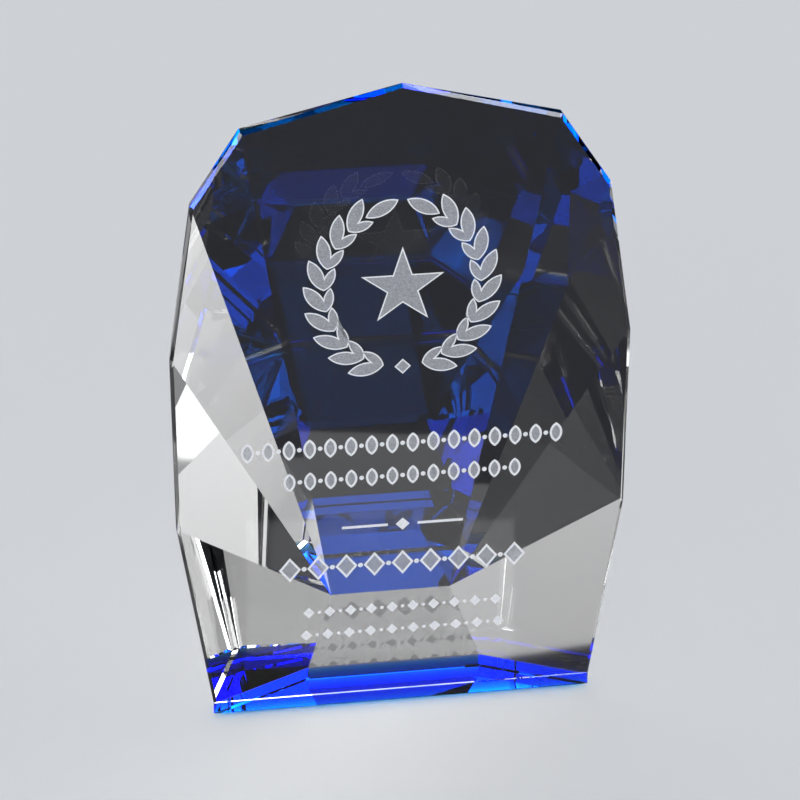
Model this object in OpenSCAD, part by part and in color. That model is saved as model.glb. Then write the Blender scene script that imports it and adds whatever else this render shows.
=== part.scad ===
// Faceted crystal award standing on a thin cobalt-blue crystal base.
//
// Frame: +Z up, the front face looks along -Y, X = 0 is the mirror plane.
// The origin is the middle of the bounding box's underside, on the table.
// "Depth" is always measured back from the front face.

/* [Front outline] */
// Height of the pointed crown above the table
crown_z = 204; // [200:0.5:208]
// Distance between the two shoulder corners
shoulder_w = 93; // [88:0.5:98]
// Height of the shoulder corners
shoulder_z = 192; // [189:0.5:195]
// Distance between the two upper corners
upper_w = 122.5; // [118:0.5:126]
// Height of the upper corners
upper_z = 170; // [166:0.5:174]
// Greatest width, at the middle corners
middle_w = 137; // [132:0.5:142]
// Height of the middle corners
middle_z = 122; // [116:0.5:128]
// Distance between the two lower corners
lower_w = 136; // [133:0.5:137]
// Height of the lower corners
lower_z = 64.5; // [60:0.5:68]
// Width of the foot along its front edge
foot_w = 117; // [112:0.5:120]
// Width of the polished bevel around the front face
bevel = 1; // [0.6:0.1:1.2]

/* [Back facets] */
// Length of the ridge where all the back facets meet
ridge_w = 37.5; // [34:0.5:42]
// Height of the ridge above the table
ridge_z = 25.5; // [24:0.5:27]
// Depth of the ridge, which is the depth of the whole award
ridge_depth = 41; // [40:0.5:43]
// Width of the foot along its back edge
foot_back_w = 54; // [50:0.5:58]
// Depth of the foot
foot_depth = 29.5; // [29.5:0.1:30]
// Thickness of the rim at the crown
crown_rim = 1.25; // [1.25:0.05:1.5]
// Thickness of the rim at the upper corners
upper_rim = 3.4; // [3:0.1:3.8]
// Thickness of the rim at the middle corners
middle_rim = 3; // [2.6:0.1:3.4]
// Thickness of the rim at the foot
foot_rim = 1.3; // [1.25:0.05:1.4]

/* [Base and bond] */
// Thickness of the blue base
base_t = 4; // [3:0.5:6]
// Width of the chamfer around the underside of the base
base_bevel = 0.5; // [0.3:0.1:0.8]
// Thickness of the clear adhesive film between body and base
bond_t = 0.1; // [0.05:0.05:0.2]

/* [Etched artwork] */
// Depth of the etched recesses
etch_depth = 0.4; // [0.3:0.05:0.5]
// How far the white fill lies below the front face
fill_below = 0.05; // [0:0.01:0.1]
// Height of the wreath's middle
wreath_z = 141; // [138:0.5:144]
// Half-width of the wreath, measured to its stems
wreath_rx = 23.2; // [21:0.1:25]
// Half-height of the wreath, measured to its stems
wreath_rz = 25.6; // [23:0.1:27]
// Leaves along the outer side of each branch
leaves_per_branch = 9; // [7:1:10]
// Distance from the star's middle to its points
star_r = 13; // [10:0.5:14]

/* [Hidden] */
$fn = 48;

front_y = -ridge_depth / 2;
body_z = base_t + bond_t;

// Front outline: crown first, then clockwise as seen from the front, each corner with
// its rim thickness. The shoulder and lower rims are those that keep the big pane and
// the two lower side facets flat.
pane_slope = (ridge_depth - crown_rim) / (crown_z - ridge_z);
shoulder_rim = crown_rim + pane_slope * (crown_z - shoulder_z);
side_slope_x = (foot_rim - foot_depth) / (foot_w / 2 - foot_back_w / 2);
side_slope_z = (ridge_depth - foot_depth - side_slope_x * (ridge_w - foot_back_w) / 2)
             / (ridge_z - body_z);
lower_rim = foot_depth + side_slope_x * (lower_w - foot_back_w) / 2
          + side_slope_z * (lower_z - body_z);

right_side = [[shoulder_w / 2, shoulder_z], [upper_w / 2, upper_z], [middle_w / 2, middle_z],
              [lower_w / 2, lower_z], [foot_w / 2, body_z]];
right_rims = [shoulder_rim, upper_rim, middle_rim, lower_rim, foot_rim];
side_n = len(right_side);

outline = concat([[0, crown_z]], right_side,
                 [for (i = [side_n - 1 : -1 : 0]) [-right_side[i][0], right_side[i][1]]]);
rims = concat([crown_rim], right_rims, [for (i = [side_n - 1 : -1 : 0]) right_rims[i]]);
n = len(outline);

// Corner i of a closed outline moved inwards so that both its edges move by d.
function unit(v) = v / norm(v);
function edge_normal(a, b) = let (u = unit(b - a)) [u[1], -u[0]];
function inset_corner(pts, i, d) =
    let (m = len(pts),
         before = edge_normal(pts[(i + m - 1) % m], pts[i]),
         after = edge_normal(pts[i], pts[(i + 1) % m]),
         miter = unit(before + after))
    pts[i] + miter * d / (miter * after);
face_outline = [for (i = [0 : n - 1]) inset_corner(outline, i, bevel)];

// A point of the body from its outline place [x, z] and its depth.
function at(p, depth) = [p[0], front_y + depth, p[1]];

body_points = concat(
    [for (p = face_outline) at(p, 0)],
    [for (p = outline) at(p, bevel)],
    [for (i = [0 : n - 1]) at(outline[i], rims[i])],
    [at([ridge_w / 2, ridge_z], ridge_depth), at([-ridge_w / 2, ridge_z], ridge_depth),
     at([foot_back_w / 2, body_z], foot_depth), at([-foot_back_w / 2, body_z], foot_depth)]);

// Indices of the corners of the rim's rear edge and of the four deep corners.
function rear(i) = 2 * n + i;
ridge_r = 3 * n;
ridge_l = 3 * n + 1;
back_foot_r = 3 * n + 2;
back_foot_l = 3 * n + 3;
foot_r = side_n;
foot_l = side_n + 1;

front_face = [[for (i = [0 : n - 1]) i]];
bevel_faces = [for (i = [0 : n - 1]) let (j = (i + 1) % n) [i, n + i, n + j, j]];
rim_faces = [for (i = [0 : n - 1]) if (i != foot_r)
             let (j = (i + 1) % n) [n + i, rear(i), rear(j), n + j]];
foot_face = [[n + foot_r, rear(foot_r), back_foot_r, back_foot_l, rear(foot_l), n + foot_l]];
pane = [[rear(0), rear(n - 1), ridge_l, ridge_r, rear(1)]];
fan_right = [for (i = [1 : side_n - 2]) [rear(i), ridge_r, rear(i + 1)]];
fan_left = [for (i = [foot_l + 1 : n - 2]) [rear(i), ridge_l, rear(i + 1)]];
low_right = [[rear(side_n - 1), ridge_r, back_foot_r, rear(foot_r)]];
low_left = [[rear(foot_l), back_foot_l, ridge_l, rear(foot_l + 1)]];
kick = [[ridge_r, ridge_l, back_foot_l, back_foot_r]];
body_faces = concat(front_face, bevel_faces, rim_faces, foot_face, pane,
                    fan_right, fan_left, low_right, low_left, kick);

// ---------------------------------------------------------------- artwork, as flat shapes
// Drawn in the plane of the front face, X across and Y up from the table.

leaf_l = 11;
leaf_w = 4.4;
inner_leaf_scale = 0.72;
branch_start = -76;
branch_end = 62;
leaf_lean = 24;

// A pointed leaf of length l and width w, standing on the origin.
module leaf(l, w) {
    r = (l * l + w * w) / (4 * w);
    translate([0, l / 2])
        intersection() {
            translate([r - w / 2, 0]) circle(r);
            translate([w / 2 - r, 0]) circle(r);
        }
}

module lozenge(w, h) {
    polygon([[-w / 2, 0], [0, -h / 2], [w / 2, 0], [0, h / 2]]);
}

module star(r) {
    inner_r = r * sin(18) / sin(54);
    polygon([for (i = [0 : 9]) (i % 2 == 0 ? r : inner_r) * [sin(36 * i), cos(36 * i)]]);
}

// The right-hand branch: leaves in pairs along an oval, and one at its tip.
module branch() {
    step = (branch_end - branch_start) / leaves_per_branch;
    for (i = [0 : leaves_per_branch - 1]) {
        a = branch_start + i * step;
        place = [wreath_rx * cos(a), wreath_rz * sin(a)];
        translate(place) rotate(a - leaf_lean) leaf(leaf_l, leaf_w);
        translate(place) rotate(a + leaf_lean)
            leaf(leaf_l * inner_leaf_scale, leaf_w * inner_leaf_scale);
    }
    translate([wreath_rx * cos(branch_end), wreath_rz * sin(branch_end)])
        rotate(branch_end) leaf(leaf_l, leaf_w);
}

module wreath_right_shape() { translate([0, wreath_z]) branch(); }
module wreath_left_shape() { mirror([1, 0]) wreath_right_shape(); }
module star_shape() { translate([0, wreath_z]) star(star_r); }

tie_w = 5;
tie_h = 5;
module wreath_tie_shape() {
    translate([0, wreath_z - wreath_rz]) lozenge(tie_w, tie_h);
}

// A row of upright leaves with a dot between each two.
module leaf_row(z, count, pitch, l, w, dot_r) {
    for (i = [0 : count - 1])
        translate([(i - (count - 1) / 2) * pitch, z - l / 2]) leaf(l, w);
    for (i = [1 : count - 1])
        translate([(i - count / 2) * pitch, z]) circle(dot_r);
}

// A row of lozenges with a dot between each two.
module lozenge_row(z, count, pitch, w, h, dot_r) {
    for (i = [0 : count - 1])
        translate([(i - (count - 1) / 2) * pitch, z]) lozenge(w, h);
    for (i = [1 : count - 1])
        translate([(i - count / 2) * pitch, z]) circle(dot_r);
}

rule_w = 14;
rule_t = 0.9;
rule_x = 11.5;
module band_1_shape() { leaf_row(90, 16, 6.2, 6.6, 3.9, 0.75); }
module band_2_shape() { leaf_row(79.2, 12, 6.2, 6.2, 3.7, 0.75); }
module band_3_shape() {
    translate([0, 62.6]) {
        lozenge(4.4, 4.2);
        for (side = [-1, 1])
            translate([side * rule_x, 0]) square([rule_w, rule_t], center = true);
    }
}
module band_4_shape() { lozenge_row(49.4, 9, 8.6, 6.8, 8.4, 0.8); }
module band_5_shape() { lozenge_row(34, 10, 6.4, 3.6, 3.8, 0.6); }
module band_6_shape() { lozenge_row(26.2, 10, 6.6, 3.6, 3.8, 0.6); }

module artwork_shape() {
    star_shape();
    wreath_left_shape();
    wreath_right_shape();
    wreath_tie_shape();
    band_1_shape();
    band_2_shape();
    band_3_shape();
    band_4_shape();
    band_5_shape();
    band_6_shape();
}

// A flat shape as a solid that reaches from one depth to another behind the front face.
module behind_face(from_depth, to_depth) {
    translate([0, front_y + to_depth, 0])
        rotate([90, 0, 0])
            linear_extrude(to_depth - from_depth) children();
}

module fill() {
    color([0.92, 0.93, 0.95]) behind_face(fill_below, etch_depth) children();
}

// ---------------------------------------------------------------- the pieces

recess_over = 1;
module crystal_body() {
    color([0.85, 0.9, 0.95, 0.5])
        difference() {
            polyhedron(body_points, body_faces);
            behind_face(-recess_over, etch_depth) artwork_shape();
        }
}

// The foot's outline, seen from above.
module foot_shape() {
    polygon([[-foot_w / 2, front_y + bevel], [foot_w / 2, front_y + bevel],
             [foot_w / 2, front_y + foot_rim],
             [foot_back_w / 2, front_y + foot_depth], [-foot_back_w / 2, front_y + foot_depth],
             [-foot_w / 2, front_y + foot_rim]]);
}

module bond_film() {
    color([0.95, 0.97, 1, 0.4])
        translate([0, 0, base_t]) linear_extrude(bond_t) foot_shape();
}

module blue_base() {
    color([0.05, 0.15, 0.85])
        hull() {
            translate([0, 0, base_bevel]) linear_extrude(base_t - base_bevel) foot_shape();
            linear_extrude(base_t) offset(delta = -base_bevel) foot_shape();
        }
}

module star_fill() { fill() star_shape(); }
module wreath_left_fill() { fill() wreath_left_shape(); }
module wreath_right_fill() { fill() wreath_right_shape(); }
module wreath_tie_fill() { fill() wreath_tie_shape(); }
module band_1_fill() { fill() band_1_shape(); }
module band_2_fill() { fill() band_2_shape(); }
module band_3_fill() { fill() band_3_shape(); }
module band_4_fill() { fill() band_4_shape(); }
module band_5_fill() { fill() band_5_shape(); }
module band_6_fill() { fill() band_6_shape(); }

crystal_body();
bond_film();
blue_base();
star_fill();
wreath_left_fill();
wreath_right_fill();
wreath_tie_fill();
band_1_fill();
band_2_fill();
band_3_fill();
band_4_fill();
band_5_fill();
band_6_fill();
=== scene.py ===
"""Looks of a faceted crystal award on a blue crystal base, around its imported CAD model.

The two crystals are bonded, so light has to cross the joint without bending. Each glass piece
therefore takes the glass-to-air index on its polished faces and an index of 1 on its bonded ones.
"""

import math

import bmesh
import bpy
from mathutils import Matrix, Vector


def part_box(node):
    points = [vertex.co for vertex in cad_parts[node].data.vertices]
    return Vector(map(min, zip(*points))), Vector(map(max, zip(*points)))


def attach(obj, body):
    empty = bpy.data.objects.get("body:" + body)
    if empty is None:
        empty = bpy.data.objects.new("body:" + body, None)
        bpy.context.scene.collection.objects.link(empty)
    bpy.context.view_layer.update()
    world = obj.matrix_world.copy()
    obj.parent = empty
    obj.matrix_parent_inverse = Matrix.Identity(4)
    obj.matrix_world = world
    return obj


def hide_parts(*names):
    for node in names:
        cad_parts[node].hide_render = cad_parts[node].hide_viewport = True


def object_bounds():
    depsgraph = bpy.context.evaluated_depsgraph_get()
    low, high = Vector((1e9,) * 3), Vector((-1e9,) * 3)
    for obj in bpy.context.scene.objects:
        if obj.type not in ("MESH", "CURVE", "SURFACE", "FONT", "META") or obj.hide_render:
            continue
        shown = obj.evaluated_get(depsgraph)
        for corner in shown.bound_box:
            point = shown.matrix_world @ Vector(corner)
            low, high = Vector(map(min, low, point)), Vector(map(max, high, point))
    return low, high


GLASS_IOR = 1.52
JOINED_IOR = 1.0

# Tolerances, in metres except where a name says otherwise.
WELD = 1e-6
NEAR = 1e-5
FLAT_ANGLE = math.radians(0.02)
LEVEL = 0.99
ALONG = 0.9

# Polished crystal. The cobalt one absorbs density times (1 - colour) in each metre of glass.
CLOUD_SCALE = 18.0
POLISH_SCALE = 60.0
POLISH_STRENGTH = 0.04
POLISH_DEPTH = 2e-4
COBALT_COLOUR = (0.0, 0.74, 0.99, 1.0)
COBALT_DENSITY = 700.0

# Etched figures: plates that stand this far out from the CAD fills, on the front face.
FINE_ROWS = ("band_3", "band_5", "band_6")
EMBLEM_BORDER = 4e-4
ROW_BORDER = 7e-4
ETCH_RISE = 1e-4
ETCH_THICKNESS = 3e-5
ETCH_CLEARANCE = 3e-5
GRAIN_SCALE = 2600.0
GRAIN_STRENGTH = 0.5
GRAIN_DEPTH = 1e-4

# Adhesive film, measured down from the CAD film's top.
FILM_DEPTH = 2e-5
FILM_THICKNESS = 6e-5
FILM_CLEARANCE = 5e-5

# Floor, table and softboxes.
STAGE_SIZE = (8.0, 8.0)
FLOOR_Z = -0.0006
TABLE_Z = -0.0003
BOX_DISTANCE = 1.5
BOX_AIM = (0, 0, 0.1)
BOUNCES = 32

# Camera at the photograph's viewing angle. AIM_HEIGHT is a share of the award's height.
CAMERA_AZIMUTH = -8.8
CAMERA_ELEVATION = 26.6
CAMERA_DISTANCE = 1.0
CAMERA_LENS = 152.1
SENSOR = 36.0
AIM_X = -0.0008
AIM_HEIGHT = 0.5113


def direction(azimuth, elevation):
    """Unit vector from the object towards a viewer. Azimuth 0 is in front, on the -Y side."""
    a, e = math.radians(azimuth), math.radians(elevation)
    return Vector((math.sin(a) * math.cos(e), -math.cos(a) * math.cos(e), math.sin(e)))


def facing(obj, target):
    """Turns obj so that its -Z looks at target."""
    obj.rotation_euler = (Vector(target) - obj.location).to_track_quat("-Z", "Y").to_euler()


def link(obj):
    bpy.context.scene.collection.objects.link(obj)
    return obj


# ------------------------------------------------------------------ materials


def principled(name, **values):
    """A new material with one Principled shader whose named sockets hold plain values."""
    mat = bpy.data.materials.new(name)
    mat.use_nodes = True
    shader = mat.node_tree.nodes["Principled BSDF"]
    for socket, value in values.items():
        shader.inputs[socket.replace("_", " ")].default_value = value
    return mat, shader


def add_noise(mat, scale, detail):
    """A noise texture in the object's own coordinates; returns its output."""
    nodes, links = mat.node_tree.nodes, mat.node_tree.links
    place = nodes.new("ShaderNodeTexCoord")
    noise = nodes.new("ShaderNodeTexNoise")
    noise.inputs["Scale"].default_value = scale
    noise.inputs["Detail"].default_value = detail
    links.new(place.outputs["Object"], noise.inputs["Vector"])
    return noise.outputs["Fac"]


def colour_from(mat, factor, low, high, start=0.35, end=0.65):
    """Drives the base colour from low to high as factor goes from start to end."""
    nodes, links = mat.node_tree.nodes, mat.node_tree.links
    ramp = nodes.new("ShaderNodeValToRGB")
    ramp.color_ramp.elements[0].position = start
    ramp.color_ramp.elements[0].color = (*low, 1.0)
    ramp.color_ramp.elements[1].position = end
    ramp.color_ramp.elements[1].color = (*high, 1.0)
    links.new(factor, ramp.inputs["Fac"])
    links.new(ramp.outputs["Color"], nodes["Principled BSDF"].inputs["Base Color"])


def bump_from(mat, factor, strength, distance):
    nodes, links = mat.node_tree.nodes, mat.node_tree.links
    bump = nodes.new("ShaderNodeBump")
    bump.inputs["Strength"].default_value = strength
    bump.inputs["Distance"].default_value = distance
    links.new(factor, bump.inputs["Height"])
    links.new(bump.outputs["Normal"], nodes["Principled BSDF"].inputs["Normal"])


def glass(name, ior):
    """Polished crystal: faint clouds of tint inside and the slight wave that polishing leaves."""
    mat, _ = principled(name, Roughness=0.0, IOR=ior, Transmission_Weight=1.0)
    colour_from(mat, add_noise(mat, CLOUD_SCALE, 2.0), (0.975, 0.985, 0.99), (1.0, 1.0, 1.0))
    bump_from(mat, add_noise(mat, POLISH_SCALE, 1.0), POLISH_STRENGTH, POLISH_DEPTH)
    return mat


def above(mat, value, limit):
    """1 where value is above limit, else 0."""
    nodes, links = mat.node_tree.nodes, mat.node_tree.links
    test = nodes.new("ShaderNodeMath")
    test.operation = "GREATER_THAN"
    test.inputs[1].default_value = limit
    links.new(value, test.inputs[0])
    return test.outputs[0]


def blue_glass():
    """Cobalt crystal: absorbs red first and then green, so thin parts look cyan and deep ones blue."""
    mat = glass("blue_crystal", GLASS_IOR)
    nodes, links = mat.node_tree.nodes, mat.node_tree.links
    absorption = nodes.new("ShaderNodeVolumeAbsorption")
    absorption.inputs["Color"].default_value = COBALT_COLOUR
    absorption.inputs["Density"].default_value = COBALT_DENSITY
    links.new(absorption.outputs["Volume"], nodes["Material Output"].inputs["Volume"])

    geometry = nodes.new("ShaderNodeNewGeometry")
    normal = nodes.new("ShaderNodeSeparateXYZ")
    place = nodes.new("ShaderNodeSeparateXYZ")
    links.new(geometry.outputs["True Normal"], normal.inputs["Vector"])
    links.new(geometry.outputs["Position"], place.inputs["Vector"])
    steepness = nodes.new("ShaderNodeMath")
    steepness.operation = "ABSOLUTE"
    links.new(normal.outputs["Z"], steepness.inputs[0])
    bonded = nodes.new("ShaderNodeMath")
    bonded.operation = "MULTIPLY"
    links.new(above(mat, steepness.outputs[0], LEVEL), bonded.inputs[0])
    links.new(above(mat, place.outputs["Z"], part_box("blue_base")[1].z / 2), bonded.inputs[1])
    ior = nodes.new("ShaderNodeMapRange")
    ior.inputs["To Min"].default_value = GLASS_IOR
    ior.inputs["To Max"].default_value = JOINED_IOR
    links.new(bonded.outputs[0], ior.inputs["Value"])
    links.new(ior.outputs["Result"], nodes["Principled BSDF"].inputs["IOR"])
    return mat


def set_materials(obj, mats, choose):
    """Gives obj these materials, and each of its faces the one that choose(face) names."""
    obj.data.materials.clear()
    for mat in mats:
        obj.data.materials.append(mat)
    for face in obj.data.polygons:
        face.material_index = choose(face)
        face.use_smooth = False


# ------------------------------------------------------------------ stage


def make_camera(cad):
    low, high = cad
    aim = Vector((AIM_X, low.y, AIM_HEIGHT * high.z))
    data = bpy.data.cameras.new("camera")
    data.lens = CAMERA_LENS
    data.sensor_width = SENSOR
    data.clip_start = 0.05
    camera = link(bpy.data.objects.new("camera", data))
    camera.location = aim + CAMERA_DISTANCE * direction(CAMERA_AZIMUTH, CAMERA_ELEVATION)
    facing(camera, aim)
    bpy.context.scene.camera = camera


def plane(name, size, centre, mat):
    x, y, z = centre
    half_x, half_y = size[0] / 2, size[1] / 2
    mesh = bpy.data.meshes.new(name)
    mesh.from_pydata(
        [(-half_x, -half_y, 0), (half_x, -half_y, 0), (half_x, half_y, 0), (-half_x, half_y, 0)],
        [],
        [(0, 1, 2, 3)],
    )
    mesh.materials.append(mat)
    obj = link(bpy.data.objects.new(name, mesh))
    obj.location = (x, y, z)
    return obj


def make_floor():
    """A pale floor for the eye, and a dark polished table that only rays in the glass meet."""
    pale, _ = principled(
        "floor_pale", Base_Color=(0.62, 0.62, 0.61, 1.0), Roughness=0.8, Specular_IOR_Level=0.0
    )
    floor = plane("floor", STAGE_SIZE, (0, 0, FLOOR_Z), pale)
    floor.visible_transmission = False
    floor.visible_glossy = False
    dark, _ = principled(
        "table_dark", Base_Color=(0.028, 0.028, 0.03, 1.0), Roughness=0.03, IOR=1.5
    )
    table = plane("dark_table", STAGE_SIZE, (0, 0, TABLE_Z), dark)
    table.visible_camera = False
    table.visible_diffuse = False
    table.visible_shadow = False


def softbox(name, azimuth, elevation, width, height, radiance, distance=BOX_DISTANCE):
    """A softbox facing the award. The camera and matt surfaces do not see it."""
    data = bpy.data.lights.new(name, "AREA")
    data.shape = "RECTANGLE"
    data.size, data.size_y = width, height
    data.energy = radiance * math.pi * width * height
    obj = link(bpy.data.objects.new(name, data))
    obj.location = distance * direction(azimuth, elevation)
    facing(obj, BOX_AIM)
    obj.visible_camera = False
    obj.visible_diffuse = False
    return obj


def make_lights():
    """A big box on each side, boxes above, and small cards where the facets look.

    Azimuth 0 is in front of the award, 90 on its right and 180 behind it.
    """
    softbox("box_left", -90, 45, 1.5, 1.5, 6.0)
    softbox("box_right", 90, 45, 1.0, 1.5, 6.0)
    softbox("box_front_high", 30, 50, 1.5, 1.0, 4.0)
    softbox("box_back_high", 165, 65, 1.0, 0.5, 6.0)
    softbox("box_back_right", 140, 30, 0.8, 1.0, 8.0)
    softbox("box_back_left", -160, 20, 0.3, 0.2, 3.5)
    softbox("card_front_low", 15, 5, 1.5, 0.4, 0.35)
    softbox("card_front_key", 8, 28, 0.2, 0.1, 13.0)
    softbox("card_back_low", 170, 15, 0.8, 0.3, 0.7)
    softbox("card_base", 170, 31, 0.3, 0.04, 1.2, distance=0.5)


def make_world():
    """Even light for the floor and the etching. The glass sees black in its place."""
    world = bpy.data.worlds.new("studio")
    world.use_nodes = True
    background = world.node_tree.nodes["Background"]
    background.inputs["Color"].default_value = (0.9, 0.93, 1.0, 1.0)
    background.inputs["Strength"].default_value = 1.1
    world.cycles_visibility.transmission = False
    world.cycles_visibility.glossy = False
    bpy.context.scene.world = world


def set_cycles():
    cycles = bpy.context.scene.cycles
    cycles.max_bounces = BOUNCES
    cycles.transmission_bounces = BOUNCES
    cycles.glossy_bounces = BOUNCES
    cycles.transparent_max_bounces = BOUNCES
    cycles.use_denoising = True
    cycles.caustics_reflective = True
    cycles.caustics_refractive = True
    cycles.sample_clamp_indirect = 0.0
    bpy.context.scene.view_settings.view_transform = "Standard"


# ------------------------------------------------------------------ pieces


def flat_plate(frame, node, name, towards, depth, thickness, clearance, border=0.0):
    """A thin closed plate made from the faces of a CAD node that look along towards.

    It starts depth below those faces and stands clearance inside their outline. A border above 0
    makes an outer band of that width, whose faces take the second material.
    """
    mesh = bmesh.new()
    mesh.from_mesh(frame["nodes"][node].data)
    bmesh.ops.remove_doubles(mesh, verts=mesh.verts, dist=WELD)
    towards = Vector(towards)
    others = [f for f in mesh.faces if f.normal.dot(towards) < ALONG]
    bmesh.ops.delete(mesh, geom=others, context="FACES")
    bmesh.ops.dissolve_faces(mesh, faces=mesh.faces[:])
    ring = bmesh.ops.inset_individual(
        mesh, faces=mesh.faces[:], thickness=clearance, use_even_offset=True
    )["faces"]
    bmesh.ops.delete(mesh, geom=ring, context="FACES")
    if border > 0:
        ring = bmesh.ops.inset_individual(
            mesh, faces=mesh.faces[:], thickness=border, use_even_offset=True
        )["faces"]
        for face in ring:
            face.material_index = 1
    bmesh.ops.translate(mesh, vec=-depth * towards, verts=mesh.verts[:])
    bmesh.ops.solidify(mesh, geom=mesh.faces[:], thickness=thickness)
    bmesh.ops.triangulate(mesh, faces=mesh.faces[:])
    bmesh.ops.recalc_face_normals(mesh, faces=mesh.faces[:])
    data = bpy.data.meshes.new(name)
    mesh.to_mesh(data)
    mesh.free()
    obj = link(bpy.data.objects.new(name, data))
    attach(obj, "root")
    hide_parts(node)
    return obj


def smooth_block(frame, node, name):
    """The cut block with its front left polished. The etching then stands on it as plates."""
    mesh = bmesh.new()
    mesh.from_mesh(frame["nodes"][node].data)
    bmesh.ops.remove_doubles(mesh, verts=mesh.verts, dist=WELD)
    hull = bmesh.ops.convex_hull(mesh, input=mesh.verts[:])
    spare = hull["geom_interior"] + hull["geom_unused"]
    bmesh.ops.delete(mesh, geom=[g for g in spare if isinstance(g, bmesh.types.BMVert)])
    bmesh.ops.delete(mesh, geom=[f for f in mesh.faces if f not in hull["geom"]], context="FACES")
    bmesh.ops.dissolve_limit(
        mesh, angle_limit=FLAT_ANGLE, verts=mesh.verts[:], edges=mesh.edges[:]
    )
    bmesh.ops.recalc_face_normals(mesh, faces=mesh.faces[:])
    data = bpy.data.meshes.new(name)
    mesh.to_mesh(data)
    mesh.free()
    obj = link(bpy.data.objects.new(name, data))
    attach(obj, "root")
    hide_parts(node)
    return obj


def finish_glass(frame):
    crystal = glass("clear_crystal", GLASS_IOR)
    joined = glass("bonded_face", JOINED_IOR)
    body = smooth_block(frame, "crystal_body", "crystal_block")
    foot_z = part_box("crystal_body")[0].z
    set_materials(body, [crystal, joined], lambda f: int(f.center.z < foot_z + NEAR))
    base = frame["nodes"]["blue_base"]
    set_materials(base, [blue_glass()], lambda f: 0)
    film = flat_plate(
        frame, "bond_film", "adhesive_film", (0, 0, 1), FILM_DEPTH, FILM_THICKNESS, FILM_CLEARANCE
    )
    adhesive = glass("cured_adhesive", JOINED_IOR)
    film.data.materials.append(adhesive)


def etching(name, low, high, alpha):
    """Sandblasted crystal: a pale matt grain between two greys."""
    mat, _ = principled(name, Roughness=0.75, Alpha=alpha)
    grain = add_noise(mat, GRAIN_SCALE, 3.0)
    colour_from(mat, grain, low, high)
    bump_from(mat, grain, GRAIN_STRENGTH, GRAIN_DEPTH)
    return mat


def finish_etching(frame):
    frost = etching("etch_frost", (0.38, 0.39, 0.41), (0.60, 0.61, 0.63), 0.55)
    edge = etching("etch_edge", (0.80, 0.81, 0.82), (0.95, 0.95, 0.95), 0.95)
    for node in sorted(frame["nodes"]):
        if not node.endswith("_fill"):
            continue
        art = node[: -len("_fill")]
        fine = art in FINE_ROWS
        if fine:
            border = 0.0
        elif art.startswith("band"):
            border = ROW_BORDER
        else:
            border = EMBLEM_BORDER
        plate = flat_plate(
            frame,
            node,
            art + "_etch",
            towards=(0, -1, 0),
            depth=-ETCH_RISE,
            thickness=ETCH_THICKNESS,
            clearance=ETCH_CLEARANCE,
            border=border,
        )
        plate.data.materials.append(edge if fine else frost)
        plate.data.materials.append(edge)


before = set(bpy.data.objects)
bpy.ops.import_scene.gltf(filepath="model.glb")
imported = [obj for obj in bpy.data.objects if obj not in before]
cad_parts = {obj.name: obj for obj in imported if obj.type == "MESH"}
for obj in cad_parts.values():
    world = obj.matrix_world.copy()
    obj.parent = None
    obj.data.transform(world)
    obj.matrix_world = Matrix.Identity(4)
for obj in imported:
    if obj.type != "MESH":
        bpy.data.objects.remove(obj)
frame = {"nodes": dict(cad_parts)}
cad_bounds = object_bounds()
make_camera(cad_bounds)
make_floor()
make_lights()
make_world()
set_cycles()
finish_glass(frame)
finish_etching(frame)
